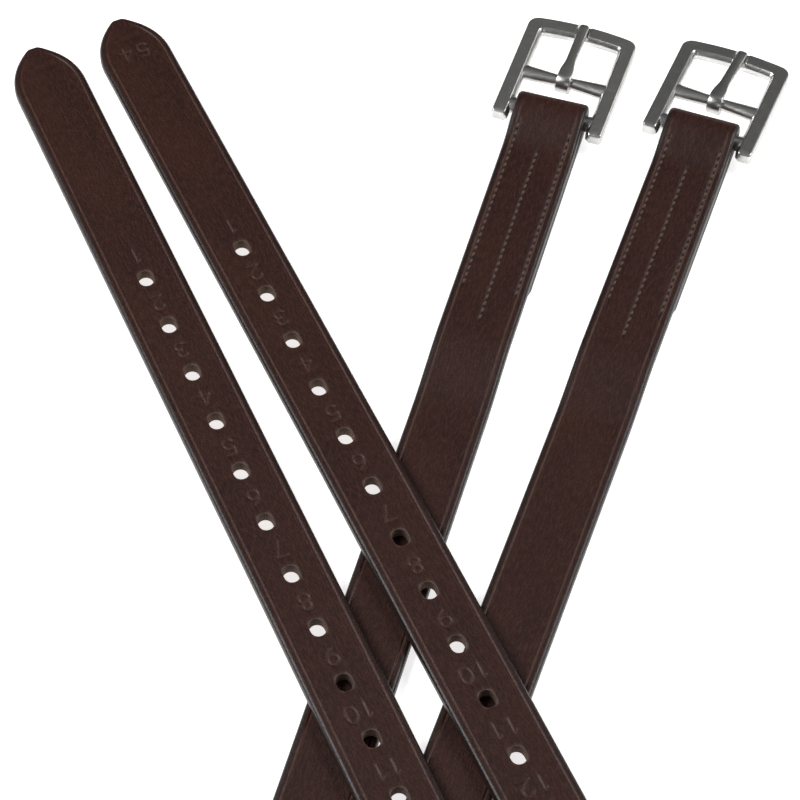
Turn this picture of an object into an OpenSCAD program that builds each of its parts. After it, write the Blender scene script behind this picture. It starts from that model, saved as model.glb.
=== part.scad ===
// A pair of stirrup leathers laid out on a table, grain side up.
//
// Each leather is one strap: a pointed tip with numbered holes, a long run, and a
// buckle sewn into its other end.  The tip run crosses over the buckle run, and the
// middle of the strap turns up on its edge and goes round in a loop.  The off leather's
// loop stands inside the near leather's.  Units are millimetres, +Z is up, and the
// origin is on the table under the middle of the pair.
//
// Lists of two values are [near leather, off leather].

/* [Straps] */
// Width of the strap
strap_w = 26; // [22:0.1:26]
// Thickness of the leather
strap_t = 4.5; // [3.5:0.1:4.6]
// Length of each leather from the buckle fold to the point of the tip
leather_l = [1386, 1358]; // [1340:1:1400]
// Length of the pointed end
point_l = 21; // [18:1:26]
// Width of the blunt end of the point
point_w = 3; // [2:0.5:6]

/* [Holes] */
// Number of holes in each strap
hole_n = 12; // [6:1:12]
// Distance from each point to the first hole
first_hole = [119.9, 117.8]; // [105:0.1:120]
// Distance from one hole to the next
hole_pitch = 22.3; // [20:0.1:22.4]
// Width of a hole, across the strap
hole_w = 5.5; // [4.5:0.1:6]
// Length of a hole, along the strap
hole_l = 6.9; // [6.2:0.1:8]

/* [Layout] */
// Where each tip lies: x of its point
tip_x = [-107.2, -137.5]; // [-140:0.1:-90]
// Where each tip lies: y of its point
tip_y = [311.9, 298]; // [290:0.1:320]
// Direction of each tip run, in degrees from -Y towards +X
tip_angle = [24.5, 23.4]; // [22:0.1:26]
// Where each buckle fold lies: x of its middle
fold_x = [54.2, 108.5]; // [50:0.1:115]
// Where each buckle fold lies: y of its middle
fold_y = [270.2, 261.8]; // [255:0.1:280]
// Direction of each buckle run, in degrees from -Y towards +X
run_angle = [-16.3, -19.1]; // [-20:0.1:-15]
// Flat length of each tip run, from the point to the start of the twist
tip_run_l = [377, 397]; // [372:1:400]
// Flat length of each buckle run, from the fold to the start of the twist
buckle_run_l = [304, 347]; // [300:1:350]
// Length over which the strap twists from flat to standing on its edge
twist_l = [150, 105]; // [90:1:150]
// Angle by which each loop flares outwards before it turns back
flare_angle = [0, 32]; // [0:1:34]
// Radius of that flare
flare_r = 60; // [50:1:80]
// Length over which a tip run rises from the table onto the straps below
rise_l = [219, 263]; // [200:1:265]

/* [Buckle end] */
// Thickness of the leather where it is pared to fold round the buckle
fold_t = 3.6; // [3:0.1:4]
// Length of the turned-back end, from the fold
turnback_l = 112; // [108:1:116]
// Where the sides of the turned-back end start to taper
turnback_taper = 82; // [76:1:84]
// Distance from the fold to the start of the sewing
sewing_start = 14; // [13:1:16]
// Distance from the fold to where the strap is down on the table again
drape_end = 140; // [134:1:150]
// Distance of the outer sewing rows from the edge of the strap
row_inset = 3.5; // [3.4:0.1:5]
// Length of the outer sewing rows
side_row_l = 77; // [70:1:78]
// Distance from the fold to the start of the middle row
mid_row_start = 25; // [22:1:28]
// Length of the middle row
mid_row_l = 80; // [70:1:82]
// Width of the sewing thread
thread_w = 0.9; // [0.6:0.1:1.1]
// Thickness of the sewing thread
thread_t = 0.5; // [0.4:0.1:0.6]

/* [Buckle] */
// Width of the frame
frame_w = 41.3; // [40:0.1:42]
// Length of the frame
frame_l = 49.4; // [48:0.1:51]
// Thickness of the frame
frame_t = 5; // [4.6:0.1:5]
// Width of the side bars and the top bar
frame_bar_w = 6; // [5.4:0.1:6.2]
// Height of the bow in the top edge
frame_bow = 1.8; // [1:0.1:2.5]
// Radius of the end bar that the leather folds round
end_bar_r = 2.5; // [2.3:0.1:2.5]
// Radius of the middle bar that the tongue turns on
tongue_bar_r = 2.3; // [2:0.1:2.4]
// Distance between the axes of the end bar and the middle bar
bar_gap = 16.3; // [15:0.1:18]
// Turn of each buckle in its fold, seen from above
frame_yaw = [-2.6, -3.1]; // [-4:0.1:0]
// Slope of each buckle, up from the table
frame_pitch = [0, -4.8]; // [-4.8:0.2:2]
// Radius of the tongue's eye
eye_r = 4.1; // [3.9:0.1:4.3]
// Width of the tongue's eye
eye_w = 5.2; // [4.6:0.1:6]
// Width of the tongue's prong
prong_w = 3.6; // [3:0.1:4]
// Thickness of the tongue's prong
prong_t = 2; // [1.8:0.1:2.2]
// Length of the tongue from the axis of its eye
prong_l = 26.2; // [25:0.1:26.4]
// Sideways slant of each tongue, towards +X
tongue_slant = [0, 4]; // [0:0.5:5]

/* [Hidden] */
$fn = 48;

near = 0;
off = 1;
left_row = -1;
middle_row = 0;
right_row = 1;
slack = 0.1;                              // radial clearance of a bar in its fold or eye
gap = 0.3;                                // height of a crossing strap above the one below
eps = 0.5;                                // how far a cutter runs past what it cuts
ring_step = 6;                            // spacing of the sections of a loop
seam = 0.02;                              // how far a loop's faces lie inside the runs' faces
seam_l = 1;                               // how far a loop's ends reach into the runs
axis_h = fold_t + end_bar_r + slack;      // height of the end bar's axis, and the fold's radius
sewn_h = fold_t + strap_t;                // height of the two sewn layers
groove_w = thread_w + 0.2;                // width of the groove that a row of thread lies in
groove_d = 0.6;                           // depth of that groove
corner_r = 4;                             // radius of the frame's top corners
foot_r = 1.5;                             // radius of the frame's lower corners
frame_foot = 6.6;                           // how far the frame reaches beyond the end bar's axis
notch_d = 0.5;                            // depth of the notch that the tongue rests in
strap_colour = "#3b2320";
thread_colour = "#5a4038";
steel_colour = "#b9bbbd";

// ---- Places ----------------------------------------------------------------------

// Puts its children at the tip of leather i, with the run towards -Y.
module at_tip(i) translate([tip_x[i], tip_y[i], 0]) rotate(tip_angle[i]) children();

// Puts its children at the fold of leather i, with the run towards -Y.
module at_fold(i) translate([fold_x[i], fold_y[i], 0]) rotate(run_angle[i]) children();

// Puts its children at the end bar of leather i, with the top of the frame towards +Y.
module at_buckle(i)
    at_fold(i) translate([0, -axis_h, axis_h]) rotate([frame_pitch[i], 0, frame_yaw[i]]) children();

function heading(angle) = [sin(angle), -cos(angle)];
function side(angle) = [cos(angle), sin(angle)];

// ---- Route of a loop ---------------------------------------------------------------
// A loop is three or five pieces, each a length and the angle that it turns clockwise:
// straight, flare, the main arc, flare, straight.  Poses are [x, y, direction].

function cross2(a, b) = a.x * b.y - a.y * b.x;
function tip_point(i) = [tip_x[i], tip_y[i]];
function fold_point(i) = [fold_x[i], fold_y[i]];

// Distances from the tip and from the fold to the point where the two runs cross.
function tip_to_cross(i) =
    cross2(fold_point(i) - tip_point(i), heading(run_angle[i]))
    / cross2(heading(tip_angle[i]), heading(run_angle[i]));
function fold_to_cross(i) =
    cross2(fold_point(i) - tip_point(i), heading(tip_angle[i]))
    / cross2(heading(tip_angle[i]), heading(run_angle[i]));

function half_angle(i) = (tip_angle[i] - run_angle[i]) / 2;
function flared(i) = half_angle(i) + flare_angle[i];
function flare_l(i) = flare_r * flare_angle[i] * PI / 180;
function flare_out(i) = flare_r * (cos(half_angle(i)) - cos(flared(i)));

// Half of what is left of the leather beyond the crossing goes down one side of the loop,
// and the radius of the main arc is what uses it up.
function half_loop_l(i) = (leather_l[i] - tip_to_cross(i) - fold_to_cross(i)) / 2;
function loop_r(i) =
    (half_loop_l(i) - flare_l(i) + flare_out(i) / sin(half_angle(i)))
    / (cos(flared(i)) / sin(half_angle(i)) + (flared(i) + 90) * PI / 180);
function straight_l(i) = (loop_r(i) * cos(flared(i)) - flare_out(i)) / sin(half_angle(i));

function pieces(i) = [
    [tip_to_cross(i) + straight_l(i) - tip_run_l[i], 0],
    [flare_l(i), -flare_angle[i]],
    [loop_r(i) * (2 * flared(i) + 180) * PI / 180, 2 * flared(i) + 180],
    [flare_l(i), -flare_angle[i]],
    [fold_to_cross(i) + straight_l(i) - buckle_run_l[i], 0]
];
function loop_l(i) = leather_l[i] - tip_run_l[i] - buckle_run_l[i];

function moved(pose, l, turn) =
    turn == 0 ? [pose.x + l * cos(pose.z), pose.y + l * sin(pose.z), pose.z]
    : let (r = l / (turn * PI / 180), end = pose.z - turn)
      [pose.x + r * (sin(pose.z) - sin(end)), pose.y + r * (cos(end) - cos(pose.z)), end];

function walked(pose, route, s, k = 0) =
    k == len(route) - 1 || s <= route[k][0]
    ? moved(pose, s, route[k][0] == 0 ? 0 : route[k][1] * s / route[k][0])
    : walked(moved(pose, route[k][0], route[k][1]), route, s - route[k][0], k + 1);

function loop_start(i) =
    let (p = tip_point(i) + heading(tip_angle[i]) * tip_run_l[i]) [p.x, p.y, tip_angle[i] - 90];

// Turn of the strap about its own length: 0 lying flat, 90 standing on its edge.
function eased(x) = let (c = max(0, min(1, x))) c * c * (3 - 2 * c);
function twist(i, s) = 90 * min(eased(s / twist_l[i]), eased((loop_l(i) - s) / twist_l[i]));

// Height of the underside of leather i: on the straps below at first, then on the table.
function under_h(i, s) = (strap_t + gap) * (1 - eased(s / twist_l[i]));

// The four corners of the strap's section at distance s along the loop.
function ring(i, s) =
    let (
        pose = walked(loop_start(i), pieces(i), s),
        a = twist(i, s),
        left = [-sin(pose.z), cos(pose.z), 0],
        across = left * cos(a) - [0, 0, sin(a)],
        out = left * sin(a) + [0, 0, cos(a)],
        h = under_h(i, s) + strap_w / 2 * sin(a) + strap_t / 2 * cos(a),
        middle = [pose.x, pose.y, h]
    )
    [for (c = [[-1, -1], [1, -1], [1, 1], [-1, 1]])
        middle + across * c.x * (strap_w / 2 - seam) + out * c.y * (strap_t / 2 - seam)];

// The loop's ends reach a little way into the flat runs that it joins.
module loop(i) {
    l = loop_l(i) + 2 * seam_l;
    n = ceil(l / ring_step);
    points = [for (k = [0 : n]) each ring(i, l * k / n - seam_l)];
    sides = [for (k = [0 : n - 1], c = [0 : 3])
        each [[4 * k + c, 4 * k + 4 + (c + 1) % 4, 4 * k + (c + 1) % 4],
              [4 * k + c, 4 * k + 4 + c, 4 * k + 4 + (c + 1) % 4]]];
    ends = [[0, 1, 2, 3], [4 * n + 3, 4 * n + 2, 4 * n + 1, 4 * n]];
    polyhedron(points, concat(sides, ends));
}

// ---- Strap -------------------------------------------------------------------------

// Outline of a tip run, from its blunt point at the origin to length l towards -Y.
// Each side curves in on an arc that starts along the strap's edge.
module pointed_outline(l) {
    narrowing = (strap_w - point_w) / 2;
    r = (point_l * point_l + narrowing * narrowing) / (2 * narrowing);
    translate([-strap_w / 2, -l]) square([strap_w, l - point_l]);
    intersection() {
        translate([-strap_w / 2, -point_l - eps]) square([strap_w, point_l + eps]);
        translate([r - strap_w / 2, -point_l]) circle(r);
        translate([strap_w / 2 - r, -point_l]) circle(r);
    }
}

// Side view of a tip run: y along the run, z up.
module tip_run_profile(i)
    polygon([
        [0, 0], [0, strap_t], [-rise_l[i], 2 * strap_t + gap], [-tip_run_l[i], 2 * strap_t + gap],
        [-tip_run_l[i], strap_t + gap], [-rise_l[i], strap_t + gap]
    ]);

// Extrudes a side view across the width of the strap.
module across_strap(w = strap_w)
    rotate([90, 0, 90]) linear_extrude(w, center = true) children();

module hole_outline() {
    square([hole_w, hole_l - hole_w], center = true);
    for (y = [-1, 1]) translate([0, y * (hole_l - hole_w) / 2]) circle(d = hole_w);
}

module tip_run(i) {
    difference() {
        intersection() {
            across_strap() tip_run_profile(i);
            linear_extrude(3 * strap_t) pointed_outline(tip_run_l[i]);
        }
        for (k = [0 : hole_n - 1])
            translate([0, -first_hole[i] - k * hole_pitch, -eps])
                linear_extrude(3 * strap_t) hole_outline();
    }
}

// Side view of a buckle run's upper layer, from the fold to the start of the twist.
module upper_layer_profile(i)
    polygon([
        [-axis_h, axis_h], [-axis_h, 2 * axis_h], [-sewing_start, sewn_h], [-turnback_l + 4, sewn_h],
        [-drape_end, strap_t], [-buckle_run_l[i], strap_t], [-buckle_run_l[i], 0], [-drape_end, 0],
        [-turnback_l + 4, fold_t], [-sewing_start, fold_t]
    ]);

// The turned-back end under the strap, with its blunt, tapered end.
module turned_back() {
    half = strap_w / 2;
    linear_extrude(fold_t)
        polygon([[-half, -axis_h], [half, -axis_h], [half, -turnback_taper],
                 [half / 3, -turnback_l], [-half / 3, -turnback_l], [-half, -turnback_taper]]);
}

// Grooves that the rows of thread lie in, on both faces.
module thread_grooves()
    for (row = [left_row : right_row], z = [-eps, sewn_h - groove_d])
        translate([row * (strap_w / 2 - row_inset), 0, z]) row_bar(row, groove_w, groove_d + eps);

module row_bar(row, w, h) {
    start = row == middle_row ? mid_row_start : sewing_start + 1;
    l = row == middle_row ? mid_row_l : side_row_l;
    translate([-w / 2, -start - l, 0]) cube([w, l, h]);
}

module buckle_run(i) {
    difference() {
        union() {
            across_strap() upper_layer_profile(i);
            across_strap() translate([-axis_h, axis_h]) circle(axis_h);
            turned_back();
        }
        translate([0, -axis_h, axis_h]) rotate([0, 0, frame_yaw[i]]) rotate([0, 90, 0])
            cylinder(h = 2 * strap_w, r = end_bar_r + slack, center = true);
        thread_grooves();
    }
}

module strap(i) {
    color(strap_colour) {
        at_tip(i) tip_run(i);
        loop(i);
        at_fold(i) buckle_run(i);
    }
}

module top_thread(i, row)
    color(thread_colour) at_fold(i)
        translate([row * (strap_w / 2 - row_inset), 0, sewn_h - groove_d]) row_bar(row, thread_w, thread_t);

module under_thread(i, row)
    color(thread_colour) at_fold(i)
        translate([row * (strap_w / 2 - row_inset), 0, groove_d - thread_t])
            row_bar(row, thread_w, thread_t);

// ---- Buckle ------------------------------------------------------------------------

module frame_outline() {
    half = frame_w / 2;
    top = frame_l - frame_foot;
    bow_r = (half * half + frame_bow * frame_bow) / (2 * frame_bow);
    intersection() {
        union() {
            translate([-half + foot_r, -frame_foot]) square([frame_w - 2 * foot_r, frame_l - corner_r]);
            translate([-half, -frame_foot + foot_r]) square([frame_w, frame_l - foot_r - corner_r]);
            translate([-half + corner_r, 0]) square([frame_w - 2 * corner_r, top]);
            for (x = [-1, 1]) {
                translate([x * (half - foot_r), foot_r - frame_foot]) circle(foot_r);
                translate([x * (half - corner_r), top - corner_r]) circle(corner_r);
            }
        }
        translate([0, top - bow_r]) circle(bow_r, $fn = 180);
    }
}

module cross_bar(y, r)
    translate([0, y, 0]) rotate([0, 90, 0])
        cylinder(h = frame_w - frame_bar_w, r = r, center = true);

module buckle_frame(i) {
    window_w = frame_w - 2 * frame_bar_w;
    top = frame_l - frame_foot;
    color(steel_colour) at_buckle(i) difference() {
        union() {
            linear_extrude(frame_t, center = true) difference() {
                frame_outline();
                translate([-window_w / 2, -frame_foot - eps])
                    square([window_w, frame_l - frame_bar_w + eps - frame_bow / 2]);
            }
            cross_bar(0, end_bar_r);
            cross_bar(bar_gap, tongue_bar_r);
        }
        translate([0, bar_gap, 0]) rotate(-tongue_slant[i])
            translate([-prong_w / 2 - slack, prong_l / 2, frame_t / 2 - notch_d])
                cube([prong_w + 2 * slack, prong_l, notch_d + eps]);
    }
}

module buckle_tongue(i) {
    under = frame_t / 2 - notch_d + slack;
    color(steel_colour) at_buckle(i) translate([0, bar_gap, 0]) difference() {
        union() {
            rotate([0, 90, 0]) cylinder(h = eye_w, r = eye_r, center = true);
            rotate(-tongue_slant[i]) translate([0, 0, under]) linear_extrude(prong_t) {
                translate([-prong_w / 2, 0]) square([prong_w, prong_l - prong_w / 2]);
                translate([0, prong_l - prong_w / 2]) circle(d = prong_w);
            }
        }
        rotate([0, 90, 0]) cylinder(h = 2 * eye_w, r = tongue_bar_r + slack, center = true);
    }
}

strap(near);  // near_strap
top_thread(near, left_row);  // near_left_top_thread
under_thread(near, left_row);  // near_left_under_thread
top_thread(near, middle_row);  // near_middle_top_thread
under_thread(near, middle_row);  // near_middle_under_thread
top_thread(near, right_row);  // near_right_top_thread
under_thread(near, right_row);  // near_right_under_thread
buckle_frame(near);  // near_buckle_frame
buckle_tongue(near);  // near_buckle_tongue
strap(off);  // off_strap
top_thread(off, left_row);  // off_left_top_thread
under_thread(off, left_row);  // off_left_under_thread
top_thread(off, middle_row);  // off_middle_top_thread
under_thread(off, middle_row);  // off_middle_under_thread
top_thread(off, right_row);  // off_right_top_thread
under_thread(off, right_row);  // off_right_under_thread
buckle_frame(off);  // off_buckle_frame
buckle_tongue(off);  // off_buckle_tongue
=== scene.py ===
"""A pair of stirrup leathers laid out on a pale table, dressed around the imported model."""
import math

import bpy
import numpy as np
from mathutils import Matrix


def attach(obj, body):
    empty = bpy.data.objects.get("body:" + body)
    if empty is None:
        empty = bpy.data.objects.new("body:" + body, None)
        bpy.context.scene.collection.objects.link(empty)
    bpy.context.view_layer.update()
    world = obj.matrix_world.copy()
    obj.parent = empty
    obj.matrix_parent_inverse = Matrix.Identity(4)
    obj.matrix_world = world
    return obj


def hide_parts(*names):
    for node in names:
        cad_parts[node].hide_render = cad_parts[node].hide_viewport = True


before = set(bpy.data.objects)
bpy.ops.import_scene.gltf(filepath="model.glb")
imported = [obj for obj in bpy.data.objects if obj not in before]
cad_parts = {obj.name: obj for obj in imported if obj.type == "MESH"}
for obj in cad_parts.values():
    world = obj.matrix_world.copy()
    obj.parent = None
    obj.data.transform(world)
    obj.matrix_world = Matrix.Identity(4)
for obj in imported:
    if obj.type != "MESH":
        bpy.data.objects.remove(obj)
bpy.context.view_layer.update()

# ---- Table, camera and light ---------------------------------------------------------
# The leathers lie on a plain white table under big soft lamps.  The camera looks down
# at them from in front, as a person does who stands at the table.

MM = 0.001


class Wire:
    """One value in a material's node tree.  Arithmetic on it adds Math nodes."""

    def __init__(self, tree, socket=None):
        self.tree, self.socket = tree, socket

    def node(self, kind, settings=None, sockets=None, out=0):
        """Adds a node: its settings first, then its sockets' values or links."""
        made = self.tree.nodes.new(kind)
        for name, value in (settings or {}).items():
            setattr(made, name, value)
        for name, value in (sockets or {}).items():
            if isinstance(value, Wire):
                self.tree.links.new(value.socket, made.inputs[name])
            else:
                made.inputs[name].default_value = value
        return Wire(self.tree, made.outputs[out])

    def maths(self, operation, *values):
        return self.node("ShaderNodeMath", {"operation": operation}, dict(enumerate(values)))

    def __add__(self, other): return self.maths("ADD", self, other)
    def __sub__(self, other): return self.maths("SUBTRACT", self, other)
    def __rsub__(self, other): return self.maths("SUBTRACT", other, self)
    def __mul__(self, other): return self.maths("MULTIPLY", self, other)
    def __pow__(self, other): return self.maths("POWER", self, other)
    __radd__, __rmul__ = __add__, __mul__


def linear(red, green, blue):
    """A colour given as 0 to 255 display values, as the shader's linear values."""
    share = np.array([red, green, blue]) / 255
    return tuple(np.where(share <= 0.04045, share / 12.92, ((share + 0.055) / 1.055) ** 2.4))


def new_finish(name, **constants):
    """A material, its Principled shader with fixed sockets set, and its first wire."""
    material = bpy.data.materials.new(name)
    material.use_nodes = True
    shader = material.node_tree.nodes["Principled BSDF"]
    for socket, value in constants.items():
        shader.inputs[socket.replace("_", " ")].default_value = value
    return material, shader, Wire(material.node_tree)


def feed(shader, socket, wire):
    wire.tree.links.new(wire.socket, shader.inputs[socket])


def blended(share, first, second):
    """Colour that goes from first to second as share goes from 0 to 1."""
    def rgba(c):
        return c if isinstance(c, Wire) else (*c, 1.0)
    return share.node("ShaderNodeMix", {"data_type": "RGBA"}, {0: share, 6: rgba(first), 7: rgba(second)}, 2)


TABLE_SIZE = 6.0
TABLE_DROP = 0.0002
TABLE_GLOW = 0.75                      # the top is a lit diffuser, so the holes show white

table_finish, table_shader, wire = new_finish("white_table_paint", Roughness=0.9)
table_shader.inputs["Specular IOR Level"].default_value = 0.15
table_shader.inputs["Emission Color"].default_value = (1, 1, 1, 1)
table_shader.inputs["Emission Strength"].default_value = TABLE_GLOW
grain = wire.node("ShaderNodeTexNoise", None, {"Scale": 3.0, "Detail": 2.0})
feed(table_shader, "Base Color", blended(grain, (0.90, 0.90, 0.90), (0.93, 0.93, 0.93)))

half = TABLE_SIZE / 2
table_mesh = bpy.data.meshes.new("table_top")
table_mesh.from_pydata(
    [(x, y, -TABLE_DROP) for x, y in ((-half, -half), (half, -half), (half, half), (-half, half))],
    [], [(0, 1, 2, 3)])
table_top = bpy.data.objects.new("table_top", table_mesh)
table_mesh.materials.append(table_finish)
bpy.context.scene.collection.objects.link(table_top)

CAMERA_PLACE = (-0.0021, -0.4987, 0.9159)
CAMERA_TILT = 35.0
LENS = 147.15

camera_data = bpy.data.cameras.new("camera")
camera_data.lens, camera_data.sensor_width = LENS, 36.0
camera = bpy.data.objects.new("camera", camera_data)
camera.location = CAMERA_PLACE
camera.rotation_euler = (math.radians(CAMERA_TILT), 0, 0)
bpy.context.scene.collection.objects.link(camera)
bpy.context.scene.camera = camera
bpy.context.scene.view_settings.view_transform = "Standard"

# The room is dim, with a lighter patch of wall and ceiling that the flat steel mirrors.
ROOM_LIGHT = 0.053
PATCH_TOWARDS = (0.0, 0.478, 0.878)
PATCH_SHARE = 2.3                      # its light, against the rest of the room's

room = bpy.data.worlds.new("studio")
room.use_nodes = True
bpy.context.scene.world = room
sky = Wire(room.node_tree)
facing = sky.node("ShaderNodeTexCoord", None, None, 0)
aim = facing.node("ShaderNodeVectorMath", {"operation": "DOT_PRODUCT"}, {0: facing, 1: PATCH_TOWARDS}, 1)
patch = aim.node("ShaderNodeMapRange", {"interpolation_type": "SMOOTHSTEP"},
                 {"Value": aim, "From Min": 0.86, "From Max": 0.97, "To Min": 1.0, "To Max": PATCH_SHARE})
backdrop = room.node_tree.nodes["Background"]
backdrop.inputs["Color"].default_value = (1, 1, 1, 1)
feed(backdrop, "Strength", patch * ROOM_LIGHT)

for name, place, size, power in (
        ("window_left", (-1.1, 0.25, 1.3), 0.9, 22.0),
        ("window_right", (1.2, 0.45, 1.2), 0.9, 15.0),
        ("lamp_front", (0.1, -1.3, 1.0), 0.8, 2.0)):
    lamp_data = bpy.data.lights.new(name, "AREA")
    lamp_data.size, lamp_data.energy = size, power
    lamp = bpy.data.objects.new(name, lamp_data)
    lamp.location = place
    away = np.array(place) - np.array((0.0, 0.05, 0.0))
    flat = math.hypot(away[0], away[1])
    lamp.rotation_euler = (math.atan2(flat, away[2]), 0, math.atan2(away[1], away[0]) + math.pi / 2)
    bpy.context.scene.collection.objects.link(lamp)

# ---- Straps --------------------------------------------------------------------------
# Each leather is one strap of vegetable-tanned butt, cut 26 mm wide, dyed havana brown
# and waxed, with burnished edges, a creased line along both sides and a pointed tip with
# punched and numbered holes.  Its other end is pared, folded round the buckle and sewn.

STRAP_W = 26.0 * MM
STRAP_T = 4.5 * MM
FOLD_T = 3.6 * MM
POINT_L, POINT_W = 21 * MM, 3 * MM
BAR_R = 2.6 * MM                       # bore of the fold
FOLD_R = BAR_R + FOLD_T                # outside of the fold, and height of its middle
OVER = 4.8 * MM                        # height of a run that lies over another strap
SEW_LEVEL, SEW_END, DRAPE_END = 26 * MM, 108 * MM, 140 * MM
TURNBACK_L, TURNBACK_TAPER = 112 * MM, 82 * MM
HOLES, HOLE_PITCH = 12, 22.3 * MM
HOLE_W, HOLE_L = 5.3 * MM, 6.7 * MM
ROW_Q = STRAP_W / 2 - 3.5 * MM         # distance of the side rows of sewing from the middle

LEATHERS = {
    "near": dict(length=1386 * MM, tip=(-107.2 * MM, 311.9 * MM), tip_turn=24.5,
                 fold=(54.2 * MM, 270.2 * MM), run_turn=-16.3, tip_run=377 * MM, buckle_run=304 * MM,
                 twist=150 * MM, flare=0.0, rise=219 * MM, first_hole=119.9 * MM, size_mark="54"),
    "off": dict(length=1358 * MM, tip=(-137.5 * MM, 298.0 * MM), tip_turn=23.4,
                fold=(108.5 * MM, 261.8 * MM), run_turn=-19.1, tip_run=397 * MM, buckle_run=347 * MM,
                twist=105 * MM, flare=32.0, rise=263 * MM, first_hole=117.8 * MM, size_mark=""),
}
FLARE_R = 60 * MM


def eased(x):
    """0 below 0, 1 above 1, and a smooth cubic between."""
    x = np.clip(x, 0, 1)
    return x * x * (3 - 2 * x)


def along(turn):
    """Direction of a run that is turned so many degrees from -Y towards +X."""
    return np.array([math.sin(math.radians(turn)), -math.cos(math.radians(turn))])


def stepped(pose, length, bend):
    """Pose after going length along an arc that turns bend clockwise per metre, or straight if bend is 0.
    x grows by (sin h0 - sin h1) / bend and y by (cos h1 - cos h0) / bend."""
    x, y, h = pose
    length = np.asarray(length, float)
    if bend == 0:
        return x + length * math.cos(h), y + length * math.sin(h), h + 0 * length
    end = h - length * bend
    return x + (math.sin(h) - np.sin(end)) / bend, y + (np.cos(end) - math.cos(h)) / bend, end


def loop_route(leather):
    """The loop as lengths and clockwise turns: straight, flare, main arc, flare, straight.
    The arc's radius is what uses up the leather that is left beyond the crossing of the two runs."""
    def cross(a, b):
        return a[0] * b[1] - a[1] * b[0]
    a, b = along(leather["tip_turn"]), along(leather["run_turn"])
    gap = np.array(leather["fold"]) - np.array(leather["tip"])
    to_cross, back = cross(gap, b) / cross(a, b), cross(gap, a) / cross(a, b)
    half = math.radians(leather["tip_turn"] - leather["run_turn"]) / 2
    flare = math.radians(leather["flare"])
    open_angle = half + flare
    outward = FLARE_R * (math.cos(half) - math.cos(open_angle))
    left = (leather["length"] - to_cross - back) / 2
    r = ((left - FLARE_R * flare + outward / math.sin(half))
         / (math.cos(open_angle) / math.sin(half) + open_angle + math.pi / 2))
    straight = (r * math.cos(open_angle) - outward) / math.sin(half)
    turn = 2 * open_angle + math.pi
    return [(to_cross + straight - leather["tip_run"], 0.0), (FLARE_R * flare, -flare),
            (r * turn, turn), (FLARE_R * flare, -flare), (back + straight - leather["buckle_run"], 0.0)]


def strap_line(leather, s):
    """Middle line of a strap at distances s from its point, as arrays: middle, across, out and thickness.
    The tip run rises straight, the loop stands up on edge as an eased twist, the buckle run climbs over
    the turned-back end, and the fold is a half circle of middle radius FOLD_R - FOLD_T / 2."""
    s = np.asarray(s, float)
    middle, across, out = (np.zeros((len(s), 3)) for _ in range(3))
    thick = np.full(len(s), STRAP_T)
    up = np.array([0.0, 0.0, 1.0])

    part = s <= leather["tip_run"]
    middle[part, :2] = leather["tip"] + s[part, None] * along(leather["tip_turn"])
    middle[part, 2] = OVER * np.clip(s[part] / leather["rise"], 0, 1) + STRAP_T / 2
    turn = math.radians(leather["tip_turn"])
    across[part], out[part] = (math.cos(turn), math.sin(turn), 0), up

    loop_l = leather["length"] - leather["tip_run"] - leather["buckle_run"]
    part = (s > leather["tip_run"]) & (s < leather["tip_run"] + loop_l)
    d = s[part] - leather["tip_run"]
    start = np.array(leather["tip"]) + leather["tip_run"] * along(leather["tip_turn"])
    pose = (start[0], start[1], turn - math.pi / 2)
    x, y, h = (np.zeros(len(d)) for _ in range(3))
    done = 0.0
    for length, bent in loop_route(leather):
        if length == 0:
            continue
        here = d >= done
        x[here], y[here], h[here] = stepped(pose, d[here] - done, bent / length)
        pose = tuple(float(v) for v in stepped(pose, length, bent / length))
        done += length
    twist = math.pi / 2 * np.minimum(eased(d / leather["twist"]), eased((loop_l - d) / leather["twist"]))
    left = np.stack([-np.sin(h), np.cos(h), 0 * h], 1)
    height = (OVER * (1 - eased(d / leather["twist"]))
              + STRAP_W / 2 * np.sin(twist) + STRAP_T / 2 * np.cos(twist))
    middle[part] = np.stack([x, y, height], 1)
    across[part] = left * np.cos(twist)[:, None] - up * np.sin(twist)[:, None]
    out[part] = left * np.sin(twist)[:, None] + up * np.cos(twist)[:, None]

    heading = np.array([*along(leather["run_turn"]), 0.0])
    turn = math.radians(leather["run_turn"])
    sideways = -np.array([math.cos(turn), math.sin(turn), 0.0])
    fold = np.array([*leather["fold"], 0.0])
    u = leather["length"] - s
    part = (s >= leather["tip_run"] + loop_l) & (u >= FOLD_R)

    def level(v):
        under = FOLD_T * (1 - eased((v - SEW_END) / (DRAPE_END - SEW_END)))
        sewn = FOLD_T + STRAP_T / 2
        top = FOLD_R + (FOLD_R + BAR_R) / 2
        climb = 1 - eased((v - FOLD_R) / (SEW_LEVEL - FOLD_R))
        return np.where(v > SEW_LEVEL, under + STRAP_T / 2, sewn + (top - sewn) * climb)

    v = u[part]
    step = 0.05 * MM
    slope = -(level(v + step) - level(v - step)) / (2 * step)
    norm = np.sqrt(1 + slope ** 2)[:, None]
    middle[part] = fold + v[:, None] * heading + level(v)[:, None] * up
    across[part] = sideways
    out[part] = (up + slope[:, None] * heading) / norm
    thick[part] = FOLD_T + (STRAP_T - FOLD_T) * eased((v - FOLD_R) / (SEW_LEVEL - FOLD_R))

    fold_mid = FOLD_R - FOLD_T / 2
    bend = np.clip(-(u - FOLD_R) / fold_mid, 0, math.pi)
    part = u < FOLD_R
    a = bend[part][:, None]
    rest = np.maximum(-(u[part] - FOLD_R) - math.pi * fold_mid, 0)[:, None]
    out[part] = -np.sin(a) * heading + np.cos(a) * up
    middle[part] = fold + (FOLD_R + rest) * heading + FOLD_R * up + fold_mid * out[part]
    across[part], thick[part] = sideways, FOLD_T
    return middle, across, out, thick


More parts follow.
